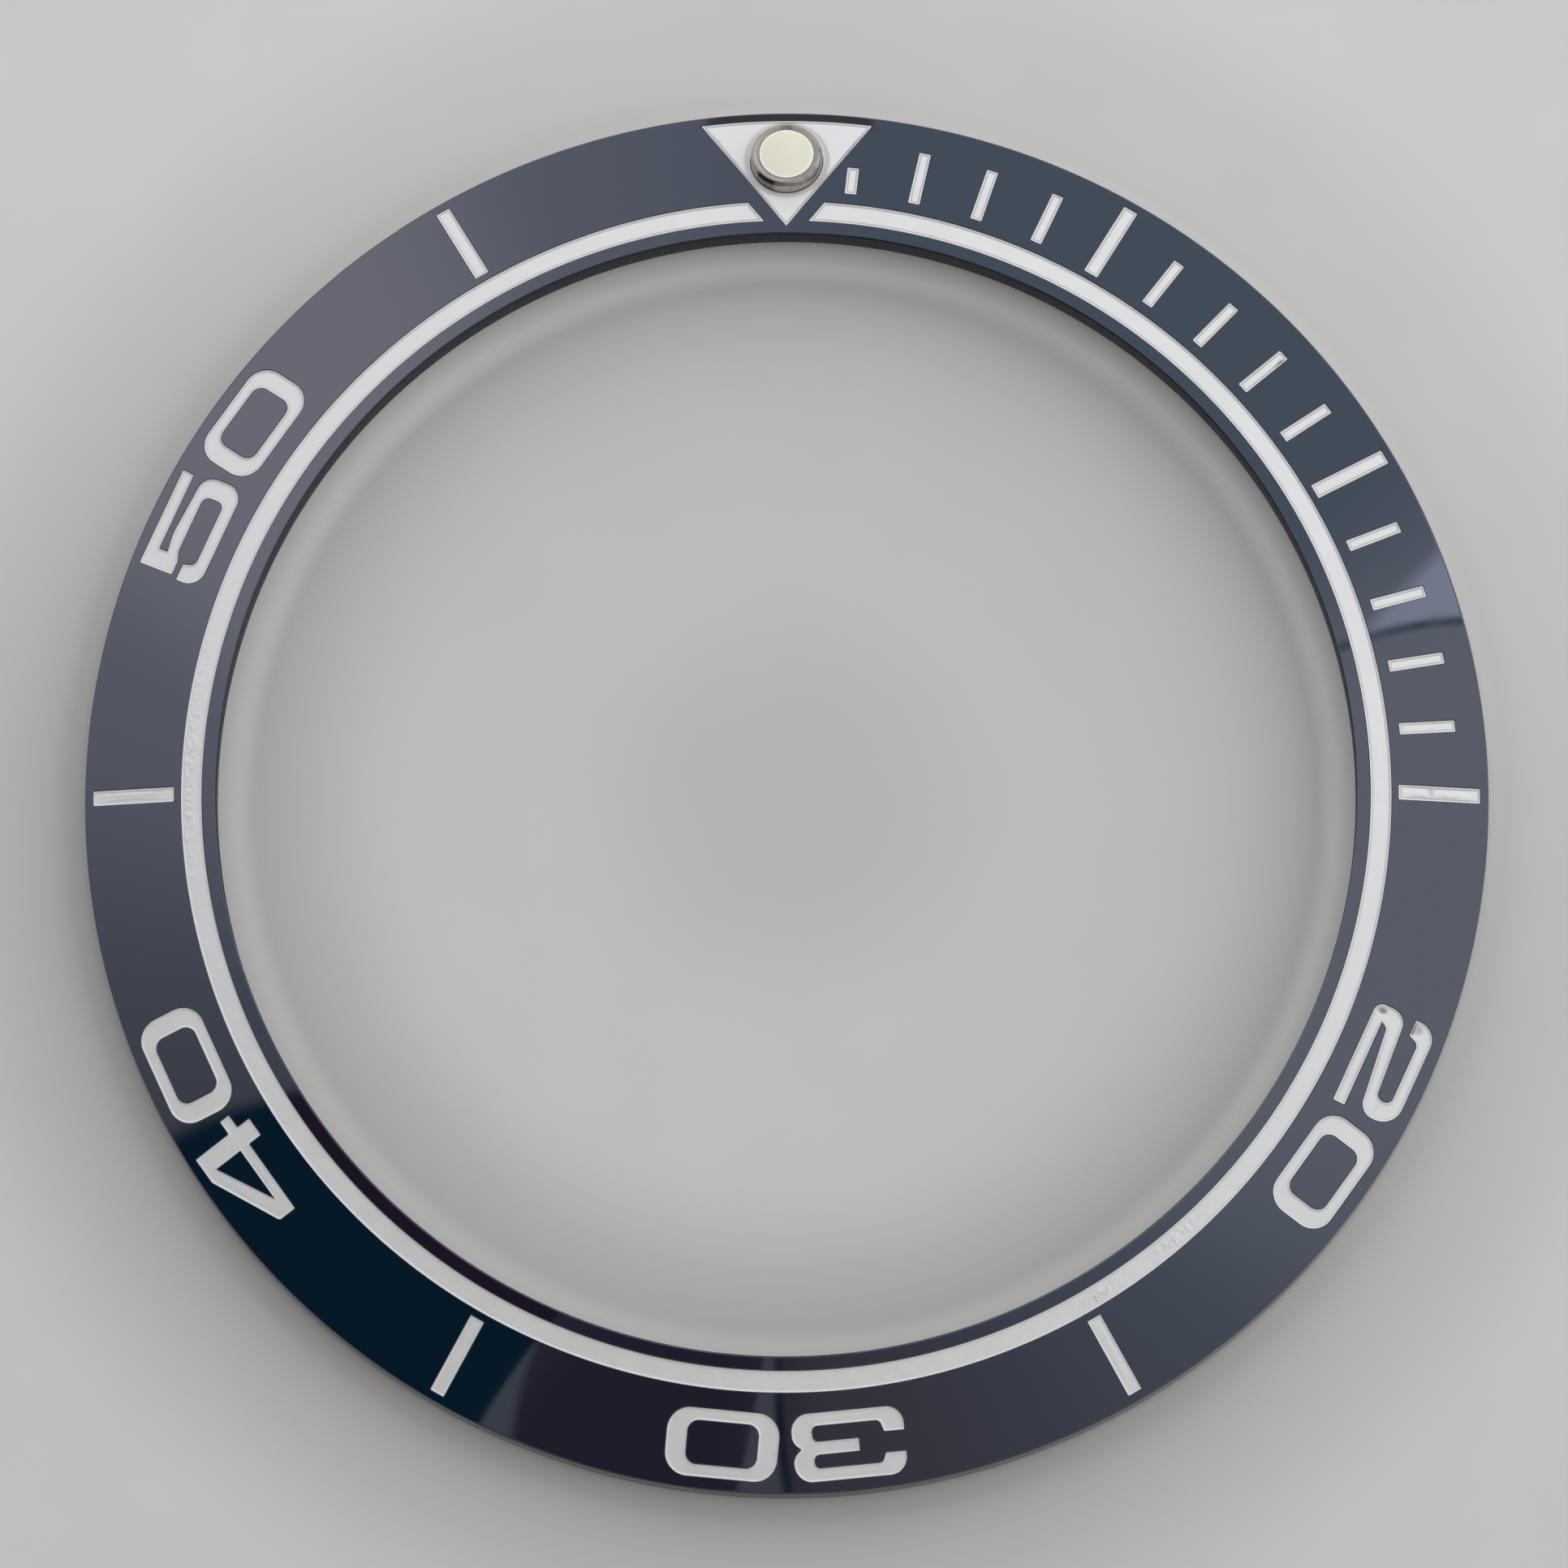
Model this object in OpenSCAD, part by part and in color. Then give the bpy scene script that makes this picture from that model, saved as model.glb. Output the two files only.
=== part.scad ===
// Bezel insert of a diver's watch: a sloping ceramic ring with cut and filled markings
// and a luminous pip at twelve. The origin is on the ring's axis, level with its foot.
// +Z points up out of the watch, and +Y points to the twelve o'clock marker.

/* [Ring] */
// Diameter of the bore
bore_d = 30.8; // [28:0.1:34]
// Width of the face, from the bore to the rim
face_w = 3.6; // [3.2:0.05:4]
// Height of the outer wall, up to the line of the sloping face
rim_h = 0.85; // [0.7:0.05:1.2]
// Slope of the face, falling outwards, in degrees
slope = 16.5; // [12:0.5:20]
// Width of the flat land under the rim, where the ring stands
land_w = 0.8; // [0.6:0.05:1]
// Radius of the polished outer edge
edge_r = 0.08; // [0.04:0.02:0.24]
// Bevel round the top of the bore
bore_bevel = 0.05; // [0.02:0.01:0.12]
// Bevel round the foot of the outer wall
foot_bevel = 0.05; // [0.02:0.01:0.12]

/* [Pockets] */
// Depth of the pockets cut into the face, measured straight down
pocket_depth = 0.25; // [0.18:0.01:0.35]
// Radius that the cutter leaves in the corners of the pockets
cutter_r = 0.04; // [0.02:0.01:0.06]
// How far each fill lies below the face
fill_sink = 0.03; // [0.01:0.01:0.06]
// Gap between a fill and its pocket, taken up by the bond
fill_gap = 0.01; // [0.005:0.005:0.02]

/* [Minute track] */
// Width of face that the sizes of the markings and the pip are given for: they follow the face
drawn_face_w = 3.6; // [3.4:0.05:3.8]
// Bare ceramic between the bore and the track
track_margin = 0.38; // [0.25:0.01:0.45]
// Width of the track
track_w = 0.58; // [0.4:0.02:0.7]

/* [Minute strokes] */
// Bare ceramic between the rim and what stands nearest to it
rim_margin = 0.23; // [0.18:0.01:0.35]
// Gap between the track and the long strokes
long_gap = 0.18; // [0.12:0.01:0.3]
// Width of the long strokes
long_w = 0.42; // [0.3:0.02:0.5]
// Gap between the track and the short strokes
stroke_gap = 0.3; // [0.2:0.01:0.4]
// Length of the short strokes
stroke_l = 1.54; // [1.2:0.02:1.7]
// Width of the short strokes
stroke_w = 0.33; // [0.24:0.01:0.4]
// Gap that cuts the first stroke short beside the marker
first_gap = 0.23; // [0.18:0.01:0.3]

/* [Numerals] */
// Gap between the track and the foot of the figures
digit_gap = 0.51; // [0.4:0.01:0.56]
// Width of a figure
digit_w = 3.04; // [2.9:0.02:3.08]
// Height of a figure
digit_h = 1.8; // [1.7:0.02:1.84]
// Width of the upright strokes
stem_w = 0.56; // [0.48:0.01:0.6]
// Width of the level strokes
bar_w = 0.35; // [0.28:0.01:0.36]
// Radius of the large outer corners of the figures
digit_r = 0.62; // [0.5:0.01:0.64]
// Radius of the small outer corners of the figures
hook_r = 0.48; // [0.4:0.01:0.5]
// Radius of the corners inside the figures
counter_r = 0.3; // [0.2:0.01:0.34]
// Space between the two figures of a number
digit_space = 0.37; // [0.32:0.01:0.5]

/* [Marker] */
// Angle at the marker's tip, in degrees
tip_angle = 76; // [72:1:80]
// Space between the pip's cup and the marker's sides
marker_margin = 0.23; // [0.2:0.005:0.25]
// Gap between the marker's sides and the ends of the track
marker_gap = 0.38; // [0.3:0.01:0.42]

/* [Pip] */
// Distance from the rim to the pip's axis
pip_inset = 1.41; // [1.38:0.01:1.44]
// Diameter of the pip's cup
cup_d = 1.96; // [1.9:0.02:2.04]
// Height of the cup above the face
cup_rise = 0.36; // [0.3:0.01:0.45]
// Radius of the cup's rounded shoulder
shoulder_r = 0.18; // [0.1:0.01:0.22]
// Width of the flat lip between the shoulder and the luminous filling
lip_w = 0.05; // [0.02:0.01:0.1]
// Depth of the luminous filling
lume_h = 0.3; // [0.2:0.01:0.36]
// Height of the filling's crown
lume_crown = 0.04; // [0.02:0.01:0.06]
// Width of the ledge under the cup's head, outside its shank
ledge_w = 0.41; // [0.3:0.01:0.5]
// How far the shank's end lies inside the ring's underside
shank_recess = 0.06; // [0.02:0.01:0.12]
// Gap between the cup and the holes that it sits in
cup_gap = 0.02; // [0.01:0.01:0.04]
// Width of the shallow recess round the cup
recess_w = 0.2; // [0.14:0.01:0.32]
// Depth of that recess
recess_depth = 0.06; // [0.04:0.01:0.12]

/* [Hidden] */
$fn = 96;
bore_r = bore_d / 2;
outer_r = bore_r + face_w;
drop = tan(slope);
// Farthest that the chords of a rounded corner lie from its true arc
chord_gap = 0.0035;
// How far a cutting shape reaches past what it cuts
spare = 1;
clear_h = rim_h + face_w * drop + spare;

// The markings and the pip widen and narrow with the face
fit = face_w / drawn_face_w;
track_in_r = bore_r + fit * track_margin;
track_out_r = track_in_r + fit * track_w;
marked_r = outer_r - fit * rim_margin;
long_foot_r = track_out_r + fit * long_gap;
stroke_foot_r = track_out_r + fit * stroke_gap;
digit_mid_r = track_out_r + fit * (digit_gap + digit_h / 2);
digit_pitch = 2 * asin(fit * (digit_w + digit_space) / 2 / digit_mid_r);

cup_r = fit * cup_d / 2;
lip_r = cup_r - fit * shoulder_r;
lume_r = lip_r - fit * lip_w;
shank_r = cup_r - fit * ledge_w;
recess_r = cup_r + fit * recess_w;
pip_r = outer_r - fit * pip_inset;
half_tip = tip_angle / 2;
tip_r = pip_r - (cup_r + fit * marker_margin) / sin(half_tip);
seat_depth = pocket_depth * cos(slope) - fill_gap;
pip_wall = (face_z(pip_r) - underside_z(pip_r)) * cos(slope);
shank_end = pip_wall - shank_recess;

// The first stroke's top corner keeps its gap from the marker's side, seen along the stroke
minute = 360 / 60;
first_reach = (tip_r * sin(minute) - fit * stroke_w / 2) * cos(half_tip - minute) - fit * first_gap;
first_top_r = tip_r * cos(minute) + first_reach / sin(half_tip - minute);

stroke_minutes = [for (m = [1:59]) if (m <= 15 || m % 10 == 5) m];
function two_figures(m) = m < 10 ? str("0", m) : str(m);
function stroke_name(m) = str("stroke_", two_figures(m));
function tens_name(t) = str("numeral_", t, "0_figure_", t);
function zero_name(t) = str("numeral_", t, "0_figure_0");

// Height of the sloping face, and of the underside that runs parallel to it, at a radius
function face_z(r) = rim_h + (outer_r - r) * drop;
function underside_z(r) = (outer_r - land_w - r) * drop;

// Outlines are lists of [x, y, corner radius], counterclockwise. The functions below draw
// each one inwards by an inset and turn its corners into arcs. A radius of 0 stays sharp.
function flat(v) = [v[0], v[1]];
function towards(a, b) = (b - a) / norm(b - a);
function left_of(d) = [-d[1], d[0]];
function turned(v, a) = [v[0] * cos(a) - v[1] * sin(a), v[0] * sin(a) + v[1] * cos(a)];
function bend(d1, d2) = atan2(d1[0] * d2[1] - d1[1] * d2[0], d1 * d2);
function arc_steps(r, a) = ceil(abs(a) / (2 * acos(1 - chord_gap / r)));

function corner(v, d1, d2, inset) =
    let (n1 = left_of(d1))
    let (n2 = left_of(d2))
    let (tip = flat(v) + inset * (n1 + n2) / (1 + n1 * n2))
    let (a = bend(d1, d2))
    let (side = a > 0 ? 1 : -1)
    let (r = v[2] == 0 ? 0 : v[2] - side * inset)
    let (start = tip - d1 * r * tan(abs(a) / 2))
    let (centre = start + n1 * side * r)
    let (steps = r <= 0 ? 1 : arc_steps(v[2], a))
    r <= 0
        ? [tip]
        : [for (k = [0:steps]) centre - side * r * turned(n1, a * k / steps)];

function outline(pts, inset) =
    let (n = len(pts))
    [
        for (k = [0:n - 1])
            let (before = flat(pts[(k + n - 1) % n]))
            let (here = flat(pts[k]))
            let (after = flat(pts[(k + 1) % n]))
            each corner(pts[k], towards(before, here), towards(here, after), inset)
    ];

function block(x0, y0, x1, y1, r) = [[x0, y0, r], [x1, y0, r], [x1, y1, r], [x0, y1, r]];

// Half sizes of a figure, and of the space inside its strokes
hw = digit_w / 2;
hh = digit_h / 2;
in_x = hw - stem_w;
in_y = hh - bar_w;
// Lean of the cut ends and slanting strokes inside the figures
lean = 0.1;

// Figure nought: a rounded frame, its level strokes a little thinner
nought_bar_less = 0.02;
nought_hole_y = in_y + nought_bar_less;
nought = block(-hw, -hh, hw, hh, digit_r);
nought_hole = block(-in_x, -nought_hole_y, in_x, nought_hole_y, counter_r);

// Figure two: a hook, a stroke that leans back across, and a foot
two_inset = 0.08;
two_mid_more = 0.02;
two_left = -hw + two_inset;
two_mid = -0.02 * hh;
two_low = two_mid - bar_w - two_mid_more;
two_rise = 0.18 * hh;
two_end = 0.33 * hh;
two_foot_r = 0.31 * hh;
two_side = hh - two_low - two_rise - lean;
two_bowl_r = 0.4 * two_side;
two_turn_r = 0.58 * two_side;
two_slot_r = 0.48 * (in_y - two_mid - two_rise);
two = [
    [two_left, -hh, two_foot_r],
    [hw, -hh, cutter_r],
    [hw, -in_y, cutter_r],
    [-in_x, -in_y, 0],
    [-in_x + lean, two_low, lean],
    [hw, two_low + two_rise + lean, two_bowl_r],
    [hw, hh, two_turn_r],
    [two_left, hh, hook_r],
    [two_left, in_y - two_end, cutter_r],
    [-in_x, in_y - two_end, cutter_r],
    [-in_x + lean, in_y, two_slot_r],
    [in_x, in_y, two_slot_r],
    [in_x, two_mid + two_rise, two_slot_r],
    [two_left, two_mid, two_bowl_r],
];

// Figure three: two bowls that meet at a notch, and a tongue between them
three_mid = 0.03 * hh;
three_mouth = 0.6 * hh;
three_tongue = 1.24;
three_notch = 0.22;
three_notch_half = 0.22 * hh;
three_notch_r = 0.34;
three_slot_r = 0.42 * (in_y - three_mid - bar_w / 2);
three = [
    [-hw, -hh, hook_r],
    [hw, -hh, hook_r],
    [hw, three_mid - three_notch_half, three_notch_r],
    [hw - three_notch, three_mid, 0],
    [hw, three_mid + three_notch_half, three_notch_r],
    [hw, hh, hook_r],
    [-hw, hh, hook_r],
    [-hw, three_mid + three_mouth / 2, cutter_r],
    [-in_x, three_mid + three_mouth / 2, cutter_r],
    [-in_x + lean, in_y, three_slot_r],
    [in_x, in_y, three_slot_r],
    [in_x, three_mid + bar_w / 2, three_slot_r],
    [in_x - three_tongue, three_mid + bar_w / 2, cutter_r],
    [in_x - three_tongue, three_mid - bar_w / 2, cutter_r],
    [in_x, three_mid - bar_w / 2, three_slot_r],
    [in_x, -in_y, three_slot_r],
    [-in_x + lean, -in_y, three_slot_r],
    [-in_x, three_mid - three_mouth / 2, cutter_r],
    [-hw, three_mid - three_mouth / 2, cutter_r],
];

// Figure four: an upright, a crossbar that passes it, and a slanting stroke
four_lift = 0.04;
four_reach = 0.08;
four_stub = 0.41;
four_bar_w = 0.3;
four_bar_low = -0.52 * hh;
four_bar_high = four_bar_low + four_bar_w;
four_flat = 0.22;
four_end = 0.58 * hh;
four_point = 0.55;
four_hole_top = 0.7 * hh;
four_right = hw + four_reach - four_stub;
four_left = four_right - stem_w;
four = [
    [four_left, four_lift - hh, cutter_r],
    [four_right, four_lift - hh, cutter_r],
    [four_right, four_bar_low, cutter_r],
    [hw + four_reach, four_bar_low, cutter_r],
    [hw + four_reach, four_bar_high, cutter_r],
    [four_right, four_bar_high, cutter_r],
    [four_right, four_lift + hh, cutter_r],
    [four_left - four_flat, four_lift + hh, lean],
    [-hw, four_bar_low + four_end, lean],
    [-hw, four_bar_low, cutter_r],
    [four_left, four_bar_low, cutter_r],
];
four_hole = [
    [-hw + four_point, four_bar_high, 0],
    [four_left, four_bar_high, 0],
    [four_left, four_hole_top, 0],
];

// Figure five: a flag, a short upright and a bowl that is open on the left
five_lift = 0.03;
five_reach = 0.03;
five_inset = 0.17;
five_foot_inset = 0.08;
five_crest = 0.455 * hh;
five_crest_x = -0.25;
five_crest_r = 1.2;
five_root = 0.38 * hh;
five_fall = 0.13 * hh;
five_stem_end = -0.065 * hh;
five_mouth = 0.18 * hh;
five_hole_top = 0.055 * hh;
five_bowl_r = 0.42;
five_hole_r = 0.2;
five_stem = -in_x - stem_w + five_inset;
five = [
    [-hw + five_foot_inset, -hh, hook_r],
    [hw + five_reach, -hh, hook_r],
    [hw + five_reach, five_crest - five_fall, five_bowl_r],
    [five_crest_x, five_crest, five_crest_r],
    [five_stem + stem_w, five_root, 0],
    [five_stem + stem_w, in_y + five_lift, cutter_r],
    [hw - 2 * cutter_r, in_y + five_lift, cutter_r],
    [hw - cutter_r, hh + five_lift, cutter_r],
    [five_stem, hh + five_lift, cutter_r],
    [five_stem, five_stem_end, cutter_r],
    [-in_x, five_stem_end, lean],
    [-in_x + 3 * lean, five_hole_top, five_hole_r],
    [in_x + five_reach, five_hole_top, five_hole_r],
    [in_x + five_reach, -in_y, five_hole_r],
    [-in_x + lean, -in_y, five_hole_r],
    [-in_x, five_stem_end - five_mouth, cutter_r],
    [-hw + five_foot_inset, five_stem_end - five_mouth, cutter_r],
];

// Turns an outline to its minute on the ring, with its top outwards
module at_minutes(m) {
    rotate(-m * minute)
        children();
}

function figure_points(d) = d == 0 ? nought : d == 2 ? two : d == 3 ? three : d == 4 ? four : five;

module figure_outline(d, inset) {
    difference() {
        polygon(outline(fit * figure_points(d), inset));
        if (d == 0)
            polygon(outline(fit * nought_hole, -inset));
        if (d == 4)
            polygon(outline(fit * four_hole, -inset));
    }
}

// One figure of a number: side is -1 for the first and 1 for the second
module figure_at(t, d, side, inset) {
    at_minutes(t * 10)
        rotate(-side * digit_pitch / 2)
            translate([0, digit_mid_r])
                figure_outline(d, inset);
}

module stroke_shape(foot_r, top_r, width, inset) {
    half = fit * width / 2;
    polygon(outline(block(-half, foot_r, half, top_r, cutter_r), inset));
}

module stroke_at(m, inset) {
    at_minutes(m)
        if (m == 1)
            stroke_shape(stroke_foot_r, first_top_r, stroke_w, inset);
        else if (m % 5 == 0)
            stroke_shape(long_foot_r, marked_r, long_w, inset);
        else
            stroke_shape(stroke_foot_r, stroke_foot_r + fit * stroke_l, stroke_w, inset);
}

// The wedge between the marker's two sides, moved out sideways by a spread
module wedge(spread) {
    foot = tip_r - spread / sin(half_tip);
    top = outer_r + spare;
    half = (top - foot) * tan(half_tip);
    polygon([[0, foot], [half, top], [-half, top]]);
}

module marker_outline(inset) {
    intersection() {
        circle(marked_r - inset);
        wedge(-inset);
    }
}

module track_outline(inset) {
    difference() {
        circle(track_out_r - inset);
        circle(track_in_r + inset);
        wedge(fit * marker_gap + inset);
    }
}

// The layer of the ring between two depths below its face
module face_layer(top, bottom) {
    r0 = bore_r - spare;
    r1 = outer_r + spare;
    rotate_extrude()
        polygon([
            [r0, face_z(r0) - bottom],
            [r1, face_z(r1) - bottom],
            [r1, face_z(r1) - top],
            [r0, face_z(r0) - top],
        ]);
}

// The solid that an outline cuts out between two depths below the face
module sunk(top, bottom) {
    intersection() {
        face_layer(top, bottom);
        linear_extrude(height = clear_h + spare)
            children();
    }
}

// A fill: its outline, drawn in by the gap all round, between the sink and the pocket's floor
module fill() {
    sunk(fill_sink, pocket_depth - fill_gap)
        children();
}

module all_outlines() {
    track_outline(0);
    marker_outline(0);
    for (m = stroke_minutes)
        stroke_at(m, 0);
    for (t = [2:5]) {
        figure_at(t, t, -1, 0);
        figure_at(t, 0, 1, 0);
    }
}

// Places its children on the pip's axis, square to the face, with z = 0 on the face
module at_pip() {
    translate([0, pip_r, face_z(pip_r)])
        rotate([-slope, 0, 0])
            children();
}

module ring_section() {
    sweep = 90 - slope;
    edge_x = outer_r - edge_r;
    edge_z = face_z(outer_r) - edge_r * (1 - sin(slope)) / cos(slope);
    steps = arc_steps(edge_r, sweep);
    edge = [
        for (k = [0:steps])
            let (a = k * sweep / steps)
            [edge_x + edge_r * cos(a), edge_z + edge_r * sin(a)]
    ];
    polygon(concat(
        [
            [outer_r - land_w, 0],
            [outer_r - foot_bevel, 0],
            [outer_r, foot_bevel],
        ],
        edge,
        [
            [bore_r + bore_bevel, face_z(bore_r + bore_bevel)],
            [bore_r, face_z(bore_r + bore_bevel) - bore_bevel],
            [bore_r, underside_z(bore_r)],
        ]
    ));
}

// Ceramic ring: a sloping shell that stands on the land under its rim
module insert_ring() {
    color("#474d5c")
        difference() {
            rotate_extrude()
                ring_section();
            sunk(-spare, pocket_depth)
                all_outlines();
            at_pip()
                translate([0, 0, -clear_h])
                    cylinder(r = shank_r + cup_gap, h = clear_h);
        }
}

// White fill of the minute track
module minute_track() {
    color("#dcdcdf")
        fill()
            track_outline(fill_gap);
}

// White fill of the twelve o'clock marker, with a hole and a recess for the pip
module marker_triangle() {
    color("#dcdcdf")
        difference() {
            fill()
                marker_outline(fill_gap);
            at_pip() {
                cylinder(r = cup_r + cup_gap, h = 2 * clear_h, center = true);
                translate([0, 0, -fill_sink * cos(slope) - recess_depth])
                    cylinder(r = recess_r, h = clear_h);
            }
        }
}

// Steel cup: a head with a rounded shoulder, and a shank that holds it in the ring
module pip_cup() {
    bend_r = cup_r - lip_r;
    steps = arc_steps(bend_r, 90);
    shoulder = [
        for (k = [0:steps])
            let (a = 90 * k / steps)
            [lip_r + bend_r * cos(a), cup_rise - bend_r + bend_r * sin(a)]
    ];
    color("#a39d94")
        at_pip()
            rotate_extrude()
                polygon(concat(
                    [
                        [0, -shank_end],
                        [shank_r, -shank_end],
                        [shank_r, -seat_depth],
                        [cup_r, -seat_depth],
                    ],
                    shoulder,
                    [
                        [lume_r, cup_rise],
                        [lume_r, cup_rise - lume_h - fill_gap],
                        [0, cup_rise - lume_h - fill_gap],
                    ]
                ));
}

// Luminous filling of the cup, crowned like a drop
module pip_lume() {
    drop_r = lume_r - fill_gap;
    ball_r = (drop_r * drop_r + lume_crown * lume_crown) / (2 * lume_crown);
    color("#dedccb")
        at_pip()
            intersection() {
                translate([0, 0, cup_rise - lume_h])
                    cylinder(r = drop_r, h = lume_h + lume_crown);
                translate([0, 0, cup_rise + lume_crown - ball_r])
                    sphere(ball_r);
            }
}

// White fill of one minute stroke
module stroke(m) {
    color("#dcdcdf")
        fill()
            stroke_at(m, fill_gap);
}

// White fill of one figure
module figure(t, d, side) {
    color("#dcdcdf")
        fill()
            figure_at(t, d, side, fill_gap);
}

insert_ring();
minute_track();
marker_triangle();
pip_cup();
pip_lume();
for (m = stroke_minutes)
    stroke(m);
for (t = [2:5]) {
    figure(t, t, -1);
    figure(t, 0, 1);
}
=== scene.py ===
"""Bezel insert of a diver's watch: a dark blue ceramic ring with white filled markings and a
luminous pip at twelve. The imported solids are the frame, and the pieces below are fitted to it.
Sizes are in millimetres until a mesh is made, and in metres within the materials. +Z is up, and
+Y points to the marker."""

import math

import bpy
import numpy as np
from mathutils import Matrix, Vector, noise
from mathutils.geometry import delaunay_2d_cdt


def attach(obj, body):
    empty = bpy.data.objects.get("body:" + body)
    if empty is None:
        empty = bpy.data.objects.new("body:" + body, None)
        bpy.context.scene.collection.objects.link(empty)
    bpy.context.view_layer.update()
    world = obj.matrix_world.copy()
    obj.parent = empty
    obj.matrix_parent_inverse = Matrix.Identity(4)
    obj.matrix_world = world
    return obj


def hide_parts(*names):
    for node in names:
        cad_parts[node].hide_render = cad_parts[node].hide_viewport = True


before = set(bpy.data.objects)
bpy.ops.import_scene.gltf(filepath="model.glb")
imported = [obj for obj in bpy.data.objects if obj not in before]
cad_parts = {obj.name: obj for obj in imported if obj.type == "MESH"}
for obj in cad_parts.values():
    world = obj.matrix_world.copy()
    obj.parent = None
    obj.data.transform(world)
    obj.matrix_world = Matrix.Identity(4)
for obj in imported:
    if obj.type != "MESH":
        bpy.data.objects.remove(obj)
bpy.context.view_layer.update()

# Camera. A long lens stands 400 mm above the ring and leans ten degrees towards six o'clock.
# It was set by the ring's circles and markings, so its turns and offsets are fitted values.
image_px = 1932
focal_px = 18291.61
camera_offset = np.array([0.076, -0.532, -402.672])
turn_x, turn_y, turn_z = np.radians([10.32659, -0.81822, 0.10492])


def turned_about(axis, angle):
    return np.array(Matrix.Rotation(angle, 3, axis))


camera_turn = turned_about("Y", turn_y) @ turned_about("X", -turn_x) @ turned_about("Z", turn_z)
world_to_camera = np.eye(4)
world_to_camera[:3, :3] = camera_turn
world_to_camera[:3, 3] = camera_offset * 0.001
lens = bpy.data.cameras.new("camera")
lens.sensor_width = 36.0
lens.lens = focal_px / image_px * lens.sensor_width
lens.clip_start = 0.01
lens.clip_end = 10.0
camera = bpy.data.objects.new("camera", lens)
bpy.context.scene.collection.objects.link(camera)
camera.matrix_world = Matrix(np.linalg.inv(world_to_camera).tolist())
bpy.context.scene.camera = camera
bpy.context.scene.view_settings.view_transform = "Standard"


# Floor. A plain pale board under the ring, with painted light and shade on it: it is darker in the
# middle and in a band round the ring as painted shade, paler beside the bore and the rim as painted
# light, and paler towards one o'clock as painted light from that side. It is no part of the insert.
class Nodes:
    """A material's or the world's nodes, with short ways to add and join them."""

    def __init__(self, tree):
        self.tree = tree
        self.tree.nodes.clear()

    def add(self, kind, *inputs, **settings):
        node = self.tree.nodes.new("ShaderNode" + kind)
        for name, value in settings.items():
            setattr(node, name, value)
        for socket, value in zip(node.inputs, inputs):
            self.put(socket, value)
        return node.outputs[0]

    def put(self, socket, value):
        if isinstance(value, bpy.types.NodeSocket):
            self.tree.links.new(value, socket)
        elif value is not None:
            socket.default_value = value

    def math(self, operation, *inputs):
        return self.add("Math", *inputs, operation=operation)

    def between(self, value, low, high, to_low=0.0, to_high=1.0):
        """A soft step from one value to another, where the input goes from low to high."""
        limits = (low, high, to_low, to_high)
        return self.add("MapRange", value, *limits, interpolation_type="SMOOTHSTEP")

    def mix(self, share, first, second):
        """The first colour, turned into the second by a share."""
        node = self.tree.nodes.new("ShaderNodeMix")
        node.data_type = "RGBA"
        for name, value in (("Factor", share), ("A", first), ("B", second)):
            sockets = [s for s in node.inputs if s.name == name and s.enabled]
            self.put(sockets[0], value)
        return [s for s in node.outputs if s.enabled][0]

    def noise(self, vector, scale, detail=2.0, roughness=0.5):
        node = self.tree.nodes.new("ShaderNodeTexNoise")
        self.put(node.inputs["Vector"], vector)
        node.inputs["Scale"].default_value = scale
        node.inputs["Detail"].default_value = detail
        node.inputs["Roughness"].default_value = roughness
        return node.outputs["Fac"]

    def bump(self, height, strength, distance):
        node = self.tree.nodes.new("ShaderNodeBump")
        node.inputs["Strength"].default_value = strength
        node.inputs["Distance"].default_value = distance
        self.put(node.inputs["Height"], height)
        return node.outputs["Normal"]

    def place(self):
        """Where a point is on its piece, in metres."""
        node = self.tree.nodes.new("ShaderNodeTexCoord")
        return node.outputs["Object"]


def principled(name, **sockets):
    """A material, its nodes and its shader. Plain values go straight to the shader's sockets."""
    material = bpy.data.materials.new(name)
    material.use_nodes = True
    nodes = Nodes(material.node_tree)
    shader = material.node_tree.nodes.new("ShaderNodeBsdfPrincipled")
    output = material.node_tree.nodes.new("ShaderNodeOutputMaterial")
    material.node_tree.links.new(shader.outputs["BSDF"], output.inputs["Surface"])
    for socket, value in sockets.items():
        shader.inputs[socket.replace("_", " ")].default_value = value
    return material, nodes, shader


floor_edge = 1.5
floor_stuff, nodes, shader = principled("pale_board", Roughness=0.85)
from_middle = nodes.add("VectorMath", nodes.place(), operation="LENGTH").node.outputs["Value"]


def floor_band(start, full, fade, end):
    """1 over a band of the board round its middle, with soft edges."""
    inner_edge = nodes.between(from_middle, start, full)
    outer_edge = nodes.between(from_middle, end, fade)
    return nodes.math("MULTIPLY", inner_edge, outer_edge)


# The board away from the ring, the painted shade round the ring, and the painted light beside its
# bore and beside its rim, each with its shaded tone towards seven o'clock and its lit tone
# towards one
painted_floor_shading = (
    (nodes.between(from_middle, 0.0195, 0.0255), 0.58, 0.66),
    (floor_band(0.0100, 0.0140, 0.0195, 0.0255), 0.435, 0.59),
    (floor_band(0.0143, 0.0150, 0.0165, 0.0180), 0.56, 0.95),
    (floor_band(0.0165, 0.0180, 0.0190, 0.0196), 0.56, 0.70),
)
# The board is paler towards one o'clock, as painted light from that side
painted_light_towards_one = nodes.add("VectorMath", nodes.place(), (0.42, 0.91, 0.0), operation="DOT_PRODUCT")
painted_light_towards_one = nodes.between(painted_light_towards_one.node.outputs["Value"], -0.02, 0.02)
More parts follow.
